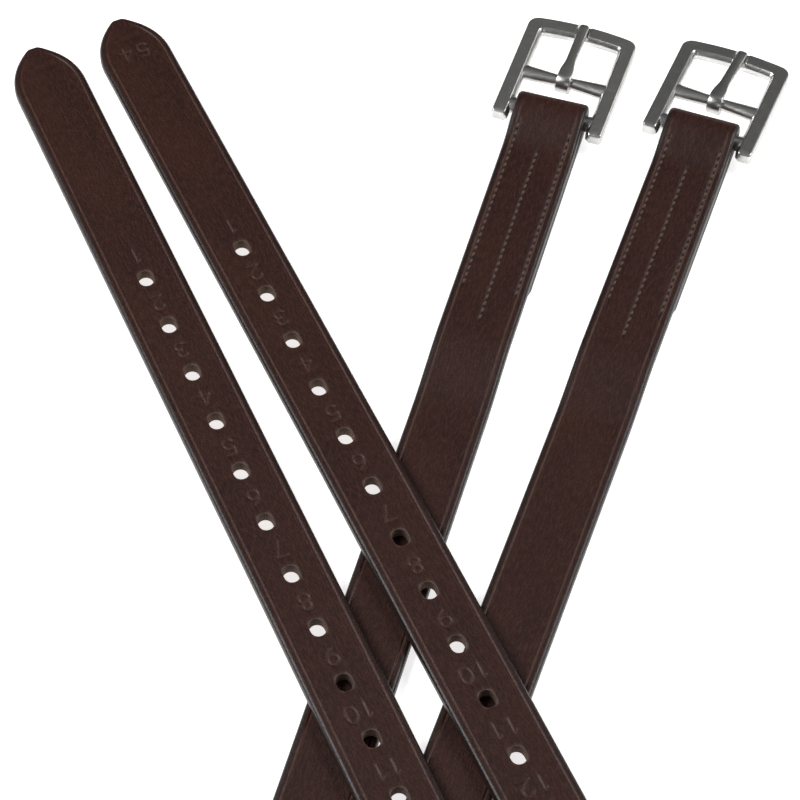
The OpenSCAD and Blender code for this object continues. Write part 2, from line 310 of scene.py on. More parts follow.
def cut_half_width(leather, s):
    """Half width of the cut strap at s, and how much longer a slanting edge makes a step across it.
    The point's sides are arcs that start along the edges; the turned-back end tapers straight."""
    narrowing = (STRAP_W - POINT_W) / 2
    r = (POINT_L ** 2 + narrowing ** 2) / (2 * narrowing)
    reach = np.clip(POINT_L - s, 0, POINT_L)
    wide = STRAP_W / 2 - r + np.sqrt(r * r - reach ** 2)
    slant = 1 / np.sqrt(1 - (reach / r) ** 2)
    back = turned_back(leather, s)
    taper = 1 - 2 / 3 * np.clip((back - TURNBACK_TAPER) / (TURNBACK_L - TURNBACK_TAPER), 0, 1)
    return wide * taper, slant


def turned_back(leather, s):
    """Distance of a point on the turned-back end from the fold, and less than FOLD_R before that end."""
    return s - (leather["length"] - FOLD_R) - math.pi * (FOLD_R - FOLD_T / 2) + FOLD_R


def strap_end(leather):
    """Distance along the strap from its point to the end that is turned back."""
    return leather["length"] - 2 * FOLD_R + math.pi * (FOLD_R - FOLD_T / 2) + TURNBACK_L


STITCH = 3.0 * MM
SIDE_ROW = (15 * MM, 90 * MM)          # where the rows of sewing start and end, from the fold
MIDDLE_ROW = (25.5 * MM, 103.5 * MM)
EDGE_R = 1.3 * MM                      # roundness of the burnished edges
MARGIN = 4.6 * MM                      # band along each edge that keeps its width where the strap narrows
MARGIN_SHARE = 0.96                    # most of the half width that the band takes
WALL_SHARES = (0.14, 0.5, 0.86)        # depths of the rings in a hole's wall, as shares of the thickness
CREASE_E, CREASE_DEPTH = 2.65 * MM, 0.32 * MM
SEW_GROOVE = 0.55 * MM
FINE = 0.34 * MM                       # column spacing about the middle, where the holes and numbers are
FINE_COLUMNS = 16
DIGIT_H, DIGIT_W, DIGIT_GAP, DIGIT_DEPTH = 6.6 * MM, 4.3 * MM, 1.0 * MM, 0.32 * MM
HOLE_BLOCK = (4, 7)                    # rows and columns from a hole's middle to its edge
HOLE_ROW = 0.75 * MM

# Columns round the section: side, distance in from the edge, share of the middle, drop from the face.
edge_turn = np.radians([0, 30, 60, 90])
edge_in = EDGE_R * (1 - np.cos(edge_turn))
edge_drop = EDGE_R * (1 - np.sin(edge_turn))
top_in = np.concatenate(
    [edge_in, np.array([1.9, 2.25, 2.45, 2.65, 2.85, 3.05, 3.3, 3.5, 3.7, 4.0, 4.6]) * MM])
top_drop = np.concatenate([edge_drop, np.zeros(11)])
under_in = np.concatenate([edge_in, np.array([3.3, 3.5, 3.7, 4.6]) * MM])
under_drop = np.concatenate([edge_drop, np.zeros(4)])
middle_half = STRAP_W / 2 - MARGIN
fine_q = FINE * np.arange(-FINE_COLUMNS, FINE_COLUMNS + 1)
top_q = np.concatenate([[-7.2 * MM, -6.3 * MM], fine_q, [6.3 * MM, 7.2 * MM]])
under_q = np.concatenate([[-6.8 * MM], fine_q, [6.8 * MM]])[::-1]


def section_columns():
    """The section's points in order, over the top face from left to right and back along the underside.  The
    rows are side (-1, 0 or 1), distance in from that edge, place in the middle, drop from the face, and face
    (1 for the top, -1 for the underside)."""
    def rows(side, inset, place, drop, face):
        n = max(np.size(v) for v in (inset, place, drop))
        return np.stack([np.broadcast_to(v, n) for v in (side, inset, place, drop, face)], 1)
    return np.concatenate([
        rows(-1, top_in, 0, top_drop, 1), rows(0, 0, top_q, 0, 1),
        rows(1, top_in[::-1], 0, top_drop[::-1], 1),
        rows(1, under_in, 0, under_drop, -1), rows(0, 0, under_q, 0, -1),
        rows(-1, under_in[::-1], 0, under_drop[::-1], -1)]).T


def hole_places(leather):
    return leather["first_hole"] + HOLE_PITCH * np.arange(HOLES)


def number_place(leather, k):
    """Middle of the number stamped on the tip side of hole k, between it and the hole before."""
    return leather["first_hole"] + k * HOLE_PITCH - 10.3 * MM


def strap_rows(leather):
    """Distances along the strap of the section's copies: close together over holes, numbers and sewing."""
    steps = [np.array([0, 0.25, 0.7, 1.3]) * MM, np.arange(2.2, 11.5, 1.0) * MM]
    if leather["size_mark"]:
        steps.append(np.arange(12, 26.5, 0.45) * MM)
    else:
        steps.append(np.arange(12, 26.5, 1.6) * MM)
    steps.append(np.linspace(29, 98, 17) * MM)
    for k, middle in enumerate(hole_places(leather)):
        number = number_place(leather, k)
        steps += [np.arange(-8, 9) * 0.46 * MM + number, HOLE_ROW * np.arange(-6, 7) + middle,
                  [middle + 6.2 * MM]]
    last = hole_places(leather)[-1] + 7.8 * MM
    sewn = leather["length"] - DRAPE_END
    steps.append(np.linspace(last, sewn, int((sewn - last) / (4.6 * MM))))
    fold = leather["length"] - FOLD_R
    steps.append(np.linspace(sewn, leather["length"] - 112.5 * MM, 12)[1:])
    steps.append(leather["length"] - np.arange(111, 14.9, -STITCH / 2 / MM) * MM)   # two to a stitch
    steps.append(np.linspace(leather["length"] - SIDE_ROW[0], fold, 10)[1:])
    bottom = fold + math.pi * (FOLD_R - FOLD_T / 2)
    steps.append(np.linspace(fold, bottom, 15)[1:])
    end = strap_end(leather)
    steps.append(np.linspace(bottom, end - 1.2 * MM, 44)[1:])
    steps.append(end - np.array([0.7, 0.25, 0.0]) * MM)
    return np.concatenate(steps)


def arc(x, y, rx, ry, start, stop, n=9):
    """Points on part of an ellipse, from one angle to another in degrees."""
    a = np.radians(np.linspace(start, stop, n))
    return list(zip(x + rx * np.cos(a), y + ry * np.sin(a)))


# Each numeral as strokes in a box one wide and one and a half high.
NUMERALS = {
    "0": [arc(0.5, 0.75, 0.44, 0.72, 0, 360, 19)],
    "1": [[(0.28, 1.2), (0.55, 1.47), (0.55, 0.03)]],
    "2": [arc(0.5, 1.03, 0.42, 0.43, 165, -35, 12) + [(0.06, 0.04), (0.95, 0.04)]],
    "3": [arc(0.48, 1.09, 0.38, 0.37, 150, -90, 12), arc(0.48, 0.40, 0.43, 0.38, 90, -150, 12)],
    "4": [[(0.68, 0.02), (0.68, 1.47), (0.05, 0.45), (0.97, 0.45)]],
    "5": [[(0.88, 1.46), (0.2, 1.46), (0.13, 0.80)] + arc(0.48, 0.48, 0.44, 0.45, 125, -150, 14)],
    "6": [arc(0.5, 0.46, 0.42, 0.44, 0, 360, 17), [(0.09, 0.55), (0.25, 1.05), (0.68, 1.47)]],
    "7": [[(0.06, 1.45), (0.94, 1.45), (0.38, 0.02)]],
    "8": [arc(0.5, 1.10, 0.34, 0.36, 0, 360, 15), arc(0.5, 0.39, 0.43, 0.37, 0, 360, 17)],
    "9": [arc(0.5, 1.04, 0.42, 0.44, 0, 360, 17), [(0.91, 0.95), (0.75, 0.45), (0.32, 0.03)]],
}


def stamped(digits, gap, place, s, q):
    """Depth from 0 to 1 at points (s, q) of a number stamped at distance place, its top towards the buckle.
    It is 1 on the strokes' lines and falls to 0 half a stroke's width away from the nearest one."""
    pitch = DIGIT_W + gap
    nearest = np.full(s.shape, 1.0)
    for k, digit in enumerate(digits):
        left = (k - len(digits) / 2) * pitch + gap / 2
        for stroke in NUMERALS[digit]:
            p = np.array(stroke) * DIGIT_W
            a, b = p[:-1], p[1:]
            x = -q[..., None] - left
            y = (s[..., None] - place) + DIGIT_H / 2
            d = b - a
            t = np.clip(((x - a[:, 0]) * d[:, 0] + (y - a[:, 1]) * d[:, 1]) / (d ** 2).sum(1), 0, 1)
            far_off = np.hypot(x - a[:, 0] - t * d[:, 0], y - a[:, 1] - t * d[:, 1]).min(-1)
            nearest = np.minimum(nearest, far_off)
    return 1 - eased((nearest - 0.12 * MM) / (0.38 * MM))


def hole_edge(ds, dq):
    """Point of the hole's outline in the direction (ds, dq): a slot with round ends along the strap."""
    angle = np.arctan2(dq, ds)
    straight = (HOLE_L - HOLE_W) / 2
    r = HOLE_W / 2
    c, n = np.cos(angle), np.sin(angle)
    far = straight * np.abs(c) + np.sqrt(np.maximum(r * r - (straight * n) ** 2, 0))
    flat = r / np.maximum(np.abs(n), 1e-6)
    reach = np.where(np.abs(flat * c) < straight, flat, far)
    return reach * c, reach * n


def strap_piece(name, leather):
    """One closed mesh: the section's columns are carried along the strap line and pressed in where the strap
    is creased, stamped and sewn.  At each hole a block of the grid is warped to the hole's outline and
    opened, and its rim on the top face is joined to its rim on the underside by the wall of the hole."""
    side, inset, place, drop, face = section_columns()
    s = strap_rows(leather)
    middle, across, out, thick = strap_line(leather, s)
    wide, slant = cut_half_width(leather, s)
    rows, columns = len(s), len(side)

    W = wide[:, None]
    reach = inset * slant[:, None]
    inward = np.minimum(reach / W, inset / MARGIN * MARGIN_SHARE)
    inner = W * (1 - np.minimum(MARGIN * slant[:, None] / W, MARGIN_SHARE))
    q = side * W * (1 - inward) + (side == 0) * place * inner / middle_half
    far = np.broadcast_to(s[:, None], q.shape).copy()
    from_edge = np.where(side == 0, STRAP_W / 2 - np.abs(place), inset) + 0 * q
    squeezed = np.clip(STRAP_W / 2 / np.maximum(W, 1e-5) - 1, 0, 1)

    # Ends: the first and last sections are a little thinner, so that the ends are rounded too.
    end = s[-1]
    near_end = np.minimum(s, end - s)
    rounding = np.clip(near_end / (1.3 * MM), 0, 1)
    thin = (0.55 + 0.45 * np.sqrt(1 - (1 - rounding) ** 2))[:, None]
    half_t = thick[:, None] / 2 * thin

    upper = face > 0
    back = turned_back(leather, s)[:, None]
    u = leather["length"] - s[:, None]

    crease = np.exp(-((from_edge - CREASE_E) / (0.26 * MM)) ** 2) * upper
    crease = crease * (1 - squeezed) * (back < FOLD_R) * np.clip((u - 6 * MM) / (8 * MM), 0, 1)
    lip = np.exp(-((from_edge - CREASE_E - 0.55 * MM) / (0.3 * MM)) ** 2) * upper * (1 - squeezed)
    sewn_u = np.where(back > FOLD_R, back, u)
    width_here = np.abs(q)
    groove, awl = np.zeros_like(q), np.zeros_like(q)
    for row_q, (row_start, row_end) in ((ROW_Q, SIDE_ROW), (0.0, MIDDLE_ROW)):
        inside = eased((sewn_u - row_start + 1.5 * MM) / MM) * eased((row_end + 1.5 * MM - sewn_u) / MM)
        line = np.exp(-((width_here - row_q) / (0.42 * MM)) ** 2) * inside * upper
        groove = np.maximum(groove, line)
        wave = np.cos(2 * np.pi * (sewn_u - row_start) / STITCH) / 2 + 0.5
        awl = np.maximum(awl, line * np.where(back > FOLD_R, 0.4, wave))

    stamp = np.zeros_like(q)
    for k in range(HOLES):
        here = np.abs(s - number_place(leather, k)) < 4.5 * MM
        pick = np.ix_(here, upper)
        stamp[pick] = stamped(str(k + 1), DIGIT_GAP, number_place(leather, k), far[pick], q[pick])
    if leather["size_mark"]:
        here = (s > 11.5 * MM) & (s < 26 * MM)
        pick = np.ix_(here, upper)
        stamp[pick] = stamped(leather["size_mark"], 2 * DIGIT_GAP, 18.6 * MM, far[pick], q[pick])

    # Holes: warp the grid about each to the hole's outline.
    open_cells = np.zeros((rows, columns), bool)
    rim = np.zeros_like(q)
    half_rows, half_columns = HOLE_BLOCK
    block_s, block_q = half_rows * HOLE_ROW, half_columns * FINE
    rings = []
    top_zero = len(top_in) + 2 + FINE_COLUMNS
    under_zero = len(top_in) * 2 + len(top_q) + len(under_in) + 1 + FINE_COLUMNS
    for middle_s in hole_places(leather):
        row = int(np.argmin(np.abs(s - middle_s)))
        ds, dq = far - middle_s, q
        square = np.maximum(np.abs(ds) / block_s, np.abs(dq) / block_q)
        close = (square < 1.5) & (square > 0.99) & (side == 0)
        share = 1 - eased((square - 1) / 0.5)
        scale = np.maximum(square, 1e-6)
        edge_s, edge_q = hole_edge(ds / scale, dq / scale)
        grow = 1 + (square - 1) * 0.35
        far = np.where(close, ds + share * (edge_s * grow - ds) + middle_s, far)
        q = np.where(close, dq + share * (edge_q * grow - dq), q)
        # The rim mask rounds each hole's rim down a little. In the finish it lightens the rim as rubbed wear
        # and a painted highlight.
        rim = np.maximum(rim, close * np.exp(-((square - 1) / 0.16) ** 2))
        along_s = slice(row - half_rows, row + half_rows)
        for zero in (top_zero, under_zero):
            open_cells[along_s, zero - half_columns:zero + half_columns] = True
        rings.append(row)

    depth = (CREASE_DEPTH * crease - 0.05 * MM * lip + SEW_GROOVE * groove * (0.65 + 0.35 * awl)
             + DIGIT_DEPTH * stamp + 0.25 * MM * rim)
    n = face * (half_t - drop * half_t / (thick[:, None] / 2) - depth)
    # A slow unevenness, as a hide has, kept off the flat underside.
    uneven = 0.10 * MM * np.sin(far * 61 + 3 * q / STRAP_W) * np.sin(far * 23 + 1.3)
    n = n + uneven * upper * (u > DRAPE_END)

    shift = far - s[:, None]
    heading = np.cross(out, across)
    base = middle[:, None] + shift[..., None] * heading[:, None] * -1
    points = base + q[..., None] * across[:, None] + n[..., None] * out[:, None]
    points[..., 2] = np.maximum(points[..., 2], 0)

    index = np.arange(rows * columns).reshape(rows, columns)
    a, b = index[:-1], index[1:]
    quads = np.stack([a, np.roll(a, -1, 1), np.roll(b, -1, 1), b], -1)
    quads = quads[~open_cells[:-1]].reshape(-1, 4)

    # The holes' walls, with a ring of vertices just under each rim.
    extra_points, extra_lay, extra_flesh, walls = [], [], [], []
    count = rows * columns
    for row in rings:
        r = np.arange(-half_rows, half_rows + 1)
        c = np.arange(-half_columns, half_columns + 1)
        loop_r = np.concatenate([r[:-1], 0 * c[:-1] + half_rows, r[:0:-1], 0 * c[:-1] - half_rows])
        loop_c = np.concatenate([0 * r[:-1] - half_columns, c[:-1], 0 * r[:-1] + half_columns, c[:0:-1]])
        top = index[row + loop_r, top_zero + loop_c]
        low = index[row + loop_r, under_zero - loop_c]
        p, z = points.reshape(-1, 3)[top], points.reshape(-1, 3)[low]
        ring_points = [p + (z - p) * share for share in WALL_SHARES]
        belt = [count + np.arange(len(top)) + k * len(top) for k in range(len(WALL_SHARES))]
        count += len(WALL_SHARES) * len(top)
        for share, ring in zip(WALL_SHARES, ring_points):
            extra_points.append(ring)
            extra_lay.append(np.stack([far.ravel()[top], q.ravel()[top],
                                       (0.5 - share) * STRAP_T + 0 * far.ravel()[top]], 1))
            extra_flesh.append(np.ones(len(top)))
        chain = [top, *belt, low]
        for first, second in zip(chain[:-1], chain[1:]):
            walls.append(np.stack([first, np.roll(first, -1), np.roll(second, -1), second], 1))

    used = np.zeros(count, bool)
    faces = np.concatenate([quads, *walls])
    used[faces.ravel()] = True
    new = np.cumsum(used) - 1
    faces = new[faces]
    lay = np.stack([far, q, n], -1).reshape(-1, 3)
    all_points = np.concatenate([points.reshape(-1, 3), *extra_points])[used]
    all_lay = np.concatenate([lay, *extra_lay])[used]
    flesh = np.where(upper, 0.0, np.clip((from_edge - 0.9 * MM) / (0.6 * MM), 0, 1)) + 0 * q
    flesh = np.concatenate([flesh.ravel(), *extra_flesh])[used]
    worn_edge = 1 - eased((from_edge + drop - 0.5 * MM) / (1.6 * MM))
    # In the finish this mask lowers the roughness and paints a highlight on the pressed lines and stamped
    # numbers.
    pressed = np.clip(0.75 * crease + 0.45 * stamp, 0, 1)
    pad = np.zeros(count - rows * columns)
    # In the finish the awl-hole mask darkens the leather nearly to black, as painted shade inside the stitch
    # holes.
    attributes = {"edge_burnish": np.concatenate([worn_edge.ravel(), pad])[used], "flesh_side": flesh,
                  "pressed_in_sheen": np.concatenate([pressed.ravel(), pad])[used],
                  "awl_hole_shade": np.concatenate([awl.ravel(), pad])[used],
                  "hole_rim_wear_and_sheen": np.concatenate([(rim * upper).ravel(), pad])[used]}
    caps = [new[index[0]][::-1].tolist(), new[index[-1]].tolist()]
    piece = new_piece(name, all_points, faces, caps)
    mark_surface(piece, all_lay, attributes)
    return piece


def new_piece(name, points, quads, caps=()):
    """An object at the origin with its place in its mesh, smooth except at sharp edges."""
    mesh = bpy.data.meshes.new(name)
    mesh.from_pydata(points.tolist(), [], quads.tolist() + list(caps))
    mesh.polygons.foreach_set("use_smooth", np.ones(len(mesh.polygons), bool))
    mesh.set_sharp_from_angle(angle=math.radians(50))
    mesh.validate()
    piece = bpy.data.objects.new(name, mesh)
    bpy.context.scene.collection.objects.link(piece)
    return piece


def mark_surface(piece, lay, attributes):
    """Stores where each vertex lies on the flat, uncut hide, and the shares that the finish reads."""
    mesh = piece.data
    lay_data = mesh.attributes.new("lay", "FLOAT_VECTOR", "POINT").data
    lay_data.foreach_set("vector", lay.astype(np.float32).ravel())
    for name, values in attributes.items():
        mesh.attributes.new(name, "FLOAT", "POINT").data.foreach_set("value", values.astype(np.float32))


def leather_finish():
    """Waxed havana bridle leather: fine pebbled grain with hair pores, cloudy dye, dark burnished edges,
    pressed lines and stamped numbers that are glossier and lightened with a painted highlight, hole rims
    lightened with rubbed wear and a painted highlight, awl holes darkened with painted shade, and a suede
    flesh side."""
    material, shader, wire = new_finish("havana_bridle_leather", Coat_Roughness=0.35)
    shader.inputs["Specular IOR Level"].default_value = 0.28
    lay = wire.node("ShaderNodeAttribute", {"attribute_name": "lay"}, None, 1)

    def mark(name):
        return wire.node("ShaderNodeAttribute", {"attribute_name": name}, None, 2)

    def stretched(scale):
        return lay.node("ShaderNodeMapping", None, {"Vector": lay, "Scale": scale})

    cloud = lay.node("ShaderNodeTexNoise", None, {"Vector": stretched((22, 60, 60)), "Scale": 1.0,
                                                  "Detail": 4.0, "Roughness": 0.6})
    fibre = lay.node("ShaderNodeTexNoise", None, {"Vector": stretched((350, 1300, 1300)), "Scale": 1.0,
                                                  "Detail": 5.0, "Roughness": 0.65})
    pebble = lay.node("ShaderNodeTexVoronoi", {"feature": "F1"},
                      {"Vector": stretched((1300, 1700, 1700)), "Scale": 1.0, "Randomness": 1.0})
    pores = lay.node("ShaderNodeTexNoise", None, {"Vector": stretched((2600, 3200, 3200)), "Scale": 1.0,
                                                  "Detail": 2.0})
    edge, flesh, pressed, rim, awl = (mark(n) for n in (
        "edge_burnish", "flesh_side", "pressed_in_sheen", "hole_rim_wear_and_sheen", "awl_hole_shade"))

    dye = blended((cloud - 0.35) * 2.6, linear(39, 13, 9), linear(54, 25, 17))
    dye = blended((fibre - 0.42) * 3.0, dye, linear(70, 40, 30))
    dye = blended((0.5 - pebble) * 2.0, dye, linear(20, 7, 4))
    # Painted highlight: the pressed lines and stamped numbers are lightened.
    dye = blended(pressed * 0.5, dye, linear(106, 76, 64))
    # Lighter hole rims: rubbed wear together with a painted highlight where the rims catch the light.
    dye = blended(rim * 0.5, dye, linear(120, 98, 86))
    dye = blended(edge * 0.85, dye, linear(20, 15, 14))
    # Painted shade: the awl holes along the sewing are darkened nearly to black.
    dye = blended(awl, dye, linear(9, 6, 6))
    suede = blended(fibre, linear(70, 52, 45), linear(128, 108, 96))
    feed(shader, "Base Color", blended(flesh, dye, suede))
    grain_side = 0.42 + 0.18 * fibre - 0.10 * pressed - 0.16 * edge
    feed(shader, "Roughness", grain_side * (1 - flesh) + 0.92 * flesh)
    feed(shader, "Coat Weight", (0.05 + 0.30 * edge) * (1 - flesh))
    height = 0.55 * pebble + 0.3 * pores + 0.9 * fibre * (0.4 + 1.4 * flesh) + 0.5 * cloud
    bump = height.node("ShaderNodeBump", None, {"Strength": 0.7, "Distance": 0.00022, "Height": height})
    feed(shader, "Normal", bump)
    return material


havana = leather_finish()
straps = {}
for hand, leather in LEATHERS.items():
    strap = strap_piece(hand + "_bridle_strap", leather)
    strap.data.materials.append(havana)
    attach(strap, "straps")
    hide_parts(hand + "_strap")
    straps[hand] = strap

# ---- Sewing --------------------------------------------------------------------------
# Three rows of lockstitch in waxed brown thread hold each turned-back end, one row near
# either edge and one down the middle.  Each stitch dives into an awl hole at both ends.

THREAD_W, THREAD_T = 0.95 * MM, 0.5 * MM


def thread_row(name, leather, u0, u1, q, under):
    """A flat thread carried along a row of sewing: its height is a half sine over each stitch, raised to a
    small power so that it dives steeply, and it drifts sideways by a fifth of its width in each stitch."""
    stitches = int(round((u1 - u0) / STITCH))
    per, around = 8, 8
    t = np.linspace(0, stitches, stitches * per + 1)
    u = u0 + t / stitches * (u1 - u0)
    hump = np.abs(np.sin(np.pi * t)) ** 0.5
    if under:
        s = leather["length"] - 2 * FOLD_R + math.pi * (FOLD_R - FOLD_T / 2) + u
        lift = -0.33 * MM - 0.25 * MM * (1 - hump)
    else:
        s = leather["length"] - u
        lift = -0.12 * MM - 0.55 * MM * (1 - hump)
    middle, across, out, thick = strap_line(leather, s)
    slip = 0.22 * THREAD_W * (2 * (t % 1) - 1)
    size = 0.62 + 0.38 * hump
    a = np.linspace(0, 2 * np.pi, around, endpoint=False)
    side = THREAD_W / 2 * size[:, None] * np.cos(a) + (q + slip)[:, None]
    rise = THREAD_T / 2 * size[:, None] * np.sin(a) + (thick / 2 + lift)[:, None]
    points = middle[:, None] + side[..., None] * across[:, None] + rise[..., None] * out[:, None]
    if under:
        points[..., 2] = np.maximum(points[..., 2], 0.05 * MM)
    n = len(t)
    index = np.arange(n * around).reshape(n, around)
    p, r = index[:-1], index[1:]
    quads = np.stack([p, r, np.roll(r, -1, 1), np.roll(p, -1, 1)], -1).reshape(-1, 4)
    piece = new_piece(name, points.reshape(-1, 3), quads, [index[0].tolist(), index[-1][::-1].tolist()])
    lay = np.stack([np.broadcast_to(u[:, None], side.shape), side, a[None, :] * THREAD_W + 0 * side], -1)
    mark_surface(piece, lay.reshape(-1, 3), {"stitch_top": np.repeat(hump, around)})
    return piece


def thread_finish():
    """Waxed linen thread: two plies twisted, darkened with painted shade where it dives into the leather."""
    material, shader, wire = new_finish("waxed_linen_thread", Roughness=0.6)
    lay = wire.node("ShaderNodeAttribute", {"attribute_name": "lay"}, None, 1)
    top = wire.node("ShaderNodeAttribute", {"attribute_name": "stitch_top"}, None, 2)
    turned = lay.node("ShaderNodeMapping", None, {"Vector": lay, "Rotation": (0, 0, math.radians(38))})
    ply = turned.node("ShaderNodeTexWave", {"wave_type": "BANDS", "bands_direction": "X"},
                      {"Vector": turned, "Scale": 520.0, "Distortion": 0.6, "Detail": 1.0})
    fuzz = lay.node("ShaderNodeTexNoise", None, {"Vector": lay, "Scale": 2400.0, "Detail": 3.0})
    body = blended(ply * 0.6 + fuzz * 0.4, linear(66, 42, 35), linear(122, 88, 74))
    # Painted shade: the thread darkens nearly to black where it dives into its awl holes.
    feed(shader, "Base Color", blended(top ** 4.0, linear(10, 6, 5), body))
    bump = ply.node("ShaderNodeBump", None, {"Strength": 0.6, "Distance": 0.0001, "Height": ply + fuzz * 0.4})
    feed(shader, "Normal", bump)
    return material


linen = thread_finish()
SEWN_ROWS = (("left", ROW_Q, SIDE_ROW), ("middle", 0.0, MIDDLE_ROW), ("right", -ROW_Q, SIDE_ROW))
for hand, leather in LEATHERS.items():
    for row, q, (u0, u1) in SEWN_ROWS:
        for layer in ("top", "under"):
            thread = thread_row(f"{hand}_{row}_{layer}_stitches", leather, u0, u1, q, layer == "under")
            thread.data.materials.append(linen)
            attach(thread, "straps")
            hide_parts(f"{hand}_{row}_{layer}_thread")

# ---- Buckle frames -------------------------------------------------------------------
# Each frame is cast in stainless steel and polished: two side bars and a bowed top bar
# with bevelled faces, a round end bar for the fold and a middle bar for the tongue.

FRAME_W, FRAME_L, FRAME_T = 41.3 * MM, 49.4 * MM, 5 * MM
BAR_W, FRAME_FOOT, FRAME_BOW = 6 * MM, 6.6 * MM, 1.8 * MM
CORNER_R, WINDOW_R = 4 * MM, 1.3 * MM
TONGUE_AT = 16.3 * MM
PRONG_W, PRONG_T, PRONG_L = 3.6 * MM, 2 * MM, 26.2 * MM
NOTCH = 0.5 * MM
END_BAR_R, TONGUE_BAR_R, BAR_FLARE = 2.5 * MM, 2.2 * MM, 0.9 * MM
END_FLARE_L, TONGUE_FLARE_L = 3 * MM, 12 * MM
BUCKLES = {"near": dict(yaw=-2.6, pitch=0.0, slant=0.0), "off": dict(yaw=-3.1, pitch=-4.8, slant=4.0)}


def in_buckle(hand, points):
    """Points of a buckle, given about its end bar with the top towards +Y, moved to their place."""
    leather, buckle = LEATHERS[hand], BUCKLES[hand]
    pitch, yaw = math.radians(buckle["pitch"]), math.radians(buckle["yaw"] + leather["run_turn"])
    x, y, z = points.T
    y, z = y * math.cos(pitch) - z * math.sin(pitch), y * math.sin(pitch) + z * math.cos(pitch)
    x, y = x * math.cos(yaw) - y * math.sin(yaw), x * math.sin(yaw) + y * math.cos(yaw)
    bar = np.array([*(np.array(leather["fold"]) + FOLD_R * along(leather["run_turn"])), FOLD_R])
    return np.stack([x, y, z], 1) + bar


def frame_ring(hand):
    """The side bars and top bar: for each distance d in from the outside, a line up one side, round a corner
    that touches both the side and the bow, along the bow and down again.  The section gives d and height."""
    soft, bevel, slope = 0.25 * MM, 0.55 * MM, 1.25 * MM
    w, t = BAR_W, FRAME_T / 2
    profile = np.array([
        (0, -t + bevel), (0, t - bevel), (soft * 0.4, t - bevel + soft), (bevel - soft, t - soft * 0.4),
        (bevel, t), (bevel * 1.3, t), (w - slope * 1.25, t), (w - slope, t),
        (w - slope + soft, t - soft * 0.5), (w - soft * 0.5, t - slope * 1.1), (w, t - slope * 1.3),
        (w, -t + slope * 1.3), (w - soft * 0.5, -t + slope * 1.1), (w - slope, -t), (bevel, -t)])

    d = profile[:, 0][None]
    half, top = FRAME_W / 2, FRAME_L - FRAME_FOOT
    bow_r = (half ** 2 + FRAME_BOW ** 2) / (2 * FRAME_BOW)
    r = CORNER_R - d * (CORNER_R - WINDOW_R) / BAR_W
    inner_bow = bow_r - d
    corner_y = top - bow_r + np.sqrt((inner_bow - r) ** 2 - (half - d - r) ** 2)
    lean = np.arcsin((half - d - r) / (inner_bow - r))
    rise = np.concatenate([[0, 0.005, 0.015, 0.035], np.linspace(0.06, 1, 22)])[:, None]
    turn = np.linspace(0, 1, 11)[1:, None]
    angle = np.pi - turn * (np.pi / 2 - lean)
    sweep = np.linspace(-1, 1, 81)[1:-1, None] * lean
    left_x = np.concatenate([-half + d + 0 * rise, -half + d + r + r * np.cos(angle)])
    left_y = np.concatenate([-FRAME_FOOT + rise * (corner_y + FRAME_FOOT), corner_y + r * np.sin(angle)])
    x = np.concatenate([left_x, inner_bow * np.sin(sweep), -left_x[::-1]])
    y = np.concatenate([left_y, top - bow_r + inner_bow * np.cos(sweep), left_y[::-1]])

    foot = np.clip((y + FRAME_FOOT) / (1.5 * MM), 0, 1)
    shrink = 1 - 0.3 * (1 - np.sqrt(1 - (1 - foot) ** 2))
    bar_middle = np.sign(x) * (half - w / 2)
    x = np.where(foot < 1, bar_middle + (x - bar_middle) * shrink, x)
    z = profile[:, 1][None] * shrink

    slant = math.radians(BUCKLES[hand]["slant"])
    off_line = x * math.cos(slant) - (y - TONGUE_AT) * math.sin(slant)
    notch = (1 - eased((np.abs(off_line) - PRONG_W / 2 - 0.1 * MM) / (0.7 * MM))) * (y > TONGUE_AT + 10 * MM)
    z = z - NOTCH * notch * np.clip(z / t, 0, 1)

    n, m = z.shape
    points = np.stack([x, y, z], -1).reshape(-1, 3)
    index = np.arange(n * m).reshape(n, m)
    a, b = index[:-1], index[1:]
    quads = np.stack([a, np.roll(a, -1, 1), np.roll(b, -1, 1), b], -1).reshape(-1, 4)
    return points, quads, [index[0][::-1].tolist(), index[-1].tolist()]


def cross_bar(y, r, flare, flare_l):
    """A bar from side to side: a circle carried along x, stretched in plan where it flares at its ends."""
    reach = FRAME_W / 2 - BAR_W * 0.6
    x = np.linspace(-reach, reach, 41)
    end = np.clip((np.abs(x) - (FRAME_W / 2 - BAR_W - flare_l)) / flare_l, 0, 1)
    plan = r + flare * end
    a = np.linspace(0, 2 * np.pi, 24, endpoint=False)
    points = np.stack([np.broadcast_to(x[:, None], (len(x), len(a))), y + plan[:, None] * np.cos(a),
                       r * np.sin(a) + 0 * plan[:, None]], -1)
    index = np.arange(len(x) * len(a)).reshape(len(x), len(a))
    p, q = index[:-1], index[1:]
    quads = np.stack([p, np.roll(p, -1, 1), np.roll(q, -1, 1), q], -1).reshape(-1, 4)
    return points.reshape(-1, 3), quads, [index[0][::-1].tolist(), index[-1].tolist()]


